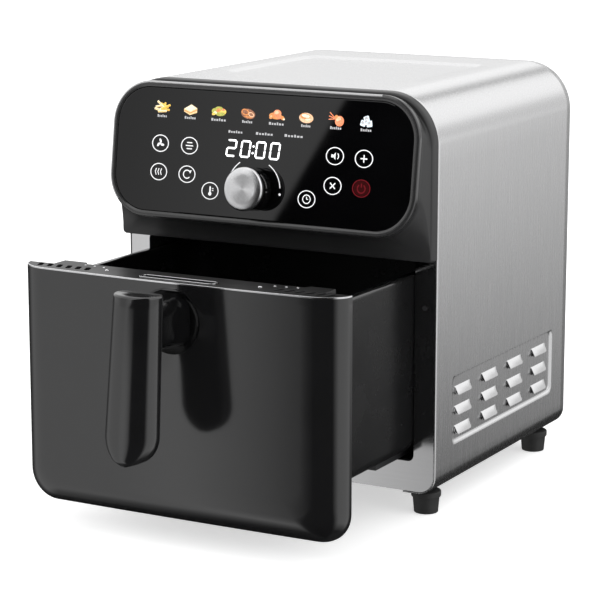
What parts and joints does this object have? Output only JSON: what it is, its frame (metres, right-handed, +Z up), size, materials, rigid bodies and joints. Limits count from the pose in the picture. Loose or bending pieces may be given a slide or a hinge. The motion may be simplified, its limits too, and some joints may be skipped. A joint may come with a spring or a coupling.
{
  "type": "air fryer",
  "caption": "Countertop drawer air fryer with steel wrap, tilted touch panel, rotary knob, sliding tub drawer with bar handle and lift-out crisper plate.",
  "frame": {"origin": "middle of the bounding box's footprint, on the surface that the feet stand on, with the drawer as it is at rest", "axes": "+Z up, the drawer opens along -Y, +X to the right of someone who faces the panel"},
  "size_m": [0.287, 0.5061, 0.3346],
  "materials": {
    "steel": "brushed along the depth, clear",
    "bright_steel": "fine turned or polished",
    "black_gloss": "glossy moulded black",
    "black_satin": "satin moulded black",
    "grey_satin": "satin grey",
    "glass": "black backed touch glass",
    "nonstick": "black non-stick coating",
    "galvanised": "plain coated sheet",
    "aluminium": "satin",
    "heater": "heat-darkened sheath",
    "board_green": "solder mask",
    "white_plastic": "plain",
    "rubber": "matte",
    "silicone": "matte silicone",
    "transformer_iron": "varnished laminations"
  },
  "bodies": {
    "housing": {"outer_wrap": "steel", "front_frame": "steel", "base_plate": "black_satin", "foot_front_left": "rubber", "foot_front_right": "rubber", "foot_rear_left": "rubber", "foot_rear_right": "rubber", "rear_cover": "black_satin", "cover_screw_1": "bright_steel", "cover_screw_2": "bright_steel", "cover_screw_3": "bright_steel", "cover_screw_4": "bright_steel", "exhaust_grille": "black_satin", "cord_gland": "rubber", "fascia_housing": "black_satin", "panel_rim": "grey_satin", "touch_glass": "glass", "display_module": "black_satin", "control_board": "board_green", "encoder_body": "galvanised", "cavity_liner": "galvanised", "temperature_probe": "bright_steel", "rail_left": "black_satin", "rail_right": "black_satin", "heat_reflector": "aluminium", "heating_element": "heater", "heater_guard": "bright_steel", "motor_bracket": "galvanised", "motor_body": "aluminium", "lower_bearing": "bright_steel", "upper_bearing": "bright_steel", "power_board": "board_green", "transformer": "transformer_iron", "drawer_switch": "black_satin"},
    "knob_carrier": {"encoder_plunger": "white_plastic"},
    "knob": {"knob_shaft": "galvanised", "knob_skirt": "black_gloss", "knob_cap": "bright_steel"},
    "fan_rotor": {"fan_impeller": "aluminium", "motor_shaft": "bright_steel", "cooling_impeller": "white_plastic"},
    "switch_button": {"switch_plunger": "white_plastic"},
    "drawer": {"drawer_front": "black_gloss", "drawer_inner_plate": "black_satin", "drawer_ledge": "black_satin", "slot_trim": "bright_steel", "handle_grip_front": "black_gloss", "handle_grip_back": "black_satin", "handle_neck": "black_gloss", "handle_screw_1": "bright_steel", "handle_screw_2": "bright_steel", "tub": "nonstick", "tub_runner_left": "black_satin", "tub_runner_right": "black_satin"},
    "crisper": {"crisper_plate": "nonstick", "bumper_left": "silicone", "bumper_right": "silicone", "bumper_front": "silicone", "bumper_rear": "silicone"}
  },
  "joints": [
    {"name": "drawer_slide", "type": "slide", "parent": "housing", "child": "drawer", "axis": [0, -1, 0], "range_m": [-0.1388, 0.07]},
    {"name": "crisper_lift", "type": "slide", "parent": "drawer", "child": "crisper", "axis": [0, 0, 1], "range_m": [0, 0.125]},
    {"name": "knob_press", "type": "slide", "parent": "housing", "child": "knob_carrier", "axis": [0, 0.9903, -0.1392], "range_m": [0, 0.001], "stiffness_N_per_m": 1500, "springref_m": -0.0003},
    {"name": "knob_turn", "type": "hinge", "parent": "knob_carrier", "child": "knob", "pos_m": [-0.0025, -0.05457, 0.25529], "axis": [0, -0.9903, 0.1392], "continuous": true},
    {"name": "fan_spin", "type": "hinge", "parent": "housing", "child": "fan_rotor", "pos_m": [0, 0.0905, 0.26], "axis": [0, 0, 1], "continuous": true},
    {"name": "switch_press", "type": "slide", "parent": "housing", "child": "switch_button", "axis": [0, 1, 0], "range_m": [0, 0.0008], "stiffness_N_per_m": 300}
  ]
}
